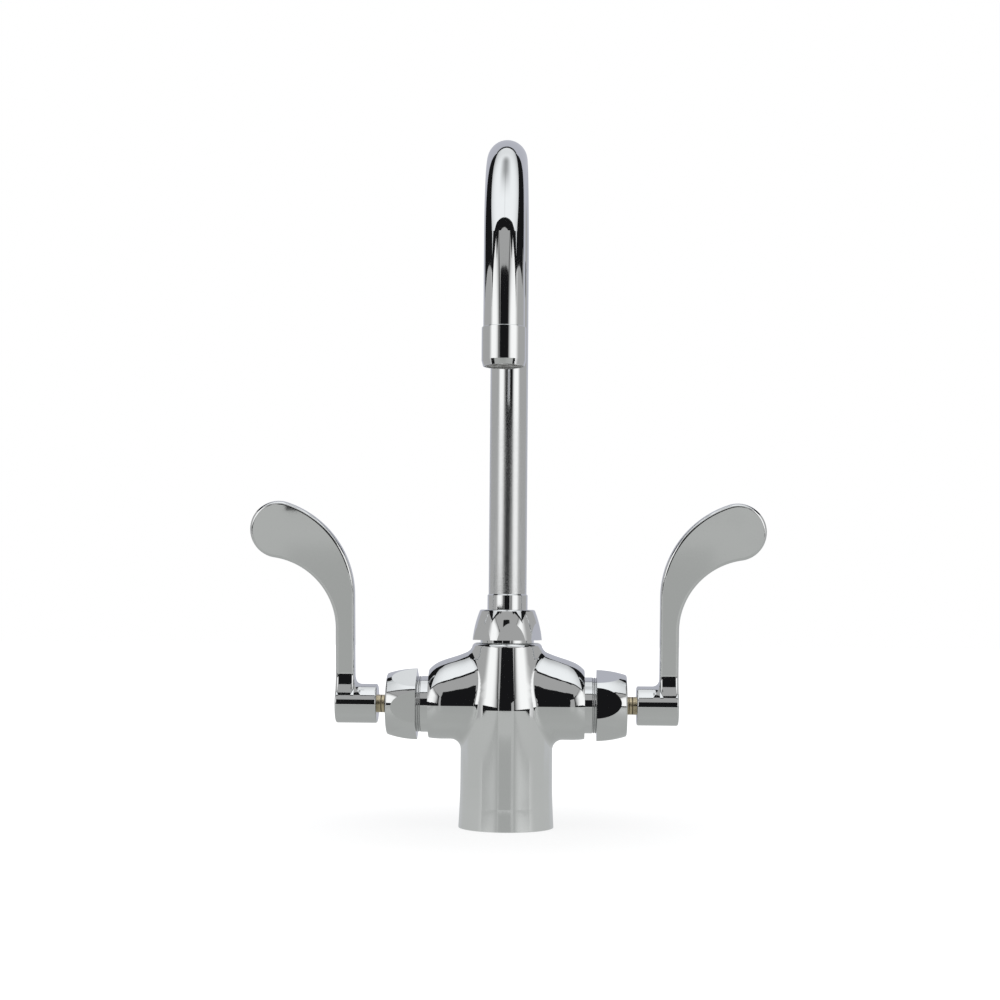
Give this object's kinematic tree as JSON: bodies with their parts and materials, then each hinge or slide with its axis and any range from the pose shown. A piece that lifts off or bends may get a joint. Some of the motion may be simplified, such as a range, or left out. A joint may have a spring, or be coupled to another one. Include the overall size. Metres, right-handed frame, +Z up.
{
  "type": "laboratory faucet",
  "caption": "Deck-mounted laboratory mixing faucet with a swivelling gooseneck spout, a cross-shaped chrome body and upright wrist-blade handles on both arms.",
  "frame": {"origin": "middle of the underside, where the mounting shank enters the body", "axes": "+Z up along the body and the riser, -Y towards the user and the spout's outlet, +X to the user's right (cold side)"},
  "size_m": [0.2574, 0.123, 0.335],
  "materials": {
    "polished_chrome": "polished",
    "bare_brass": "satin",
    "valve_ceramic": "satin",
    "black_rubber": "matte",
    "plain_steel": "satin",
    "white_plastic": "satin",
    "red_plastic": "gloss",
    "blue_plastic": "gloss"
  },
  "bodies": {
    "body": {"body_casting": "polished_chrome", "base_gasket": "black_rubber", "spout_nut": "polished_chrome", "thrust_washer": "white_plastic", "hot_bonnet_nut": "polished_chrome", "hot_seat_seal": "black_rubber", "hot_fixed_disc": "valve_ceramic", "hot_cartridge_body": "bare_brass", "hot_cartridge_seal": "black_rubber", "cold_bonnet_nut": "polished_chrome", "cold_seat_seal": "black_rubber", "cold_fixed_disc": "valve_ceramic", "cold_cartridge_body": "bare_brass", "cold_cartridge_seal": "black_rubber"},
    "spout": {"gooseneck_tube": "polished_chrome", "spout_ferrule": "polished_chrome", "spout_seals": "black_rubber", "aerator_shell": "polished_chrome", "aerator_washer": "black_rubber", "aerator_screen": "plain_steel", "aerator_insert": "white_plastic"},
    "hot_handle": {"hot_wrist_blade": "polished_chrome", "hot_stem": "bare_brass", "hot_moving_disc": "valve_ceramic", "hot_stem_seal": "black_rubber", "hot_stem_clip": "plain_steel", "hot_handle_screw": "plain_steel", "hot_index_ring": "red_plastic"},
    "cold_handle": {"cold_wrist_blade": "polished_chrome", "cold_stem": "bare_brass", "cold_moving_disc": "valve_ceramic", "cold_stem_seal": "black_rubber", "cold_stem_clip": "plain_steel", "cold_handle_screw": "plain_steel", "cold_index_ring": "blue_plastic"}
  },
  "joints": [
    {"name": "spout_swivel", "type": "hinge", "parent": "body", "child": "spout", "pos_m": [0, 0, 0.1], "axis": [0, 0, 1], "continuous": true},
    {"name": "hot_handle_turn", "type": "hinge", "parent": "body", "child": "hot_handle", "pos_m": [-0.076, 0, 0.061], "axis": [1, 0, 0], "range_deg": [0, 90]},
    {"name": "cold_handle_turn", "type": "hinge", "parent": "body", "child": "cold_handle", "pos_m": [0.076, 0, 0.061], "axis": [1, 0, 0], "range_deg": [0, 90]}
  ]
}
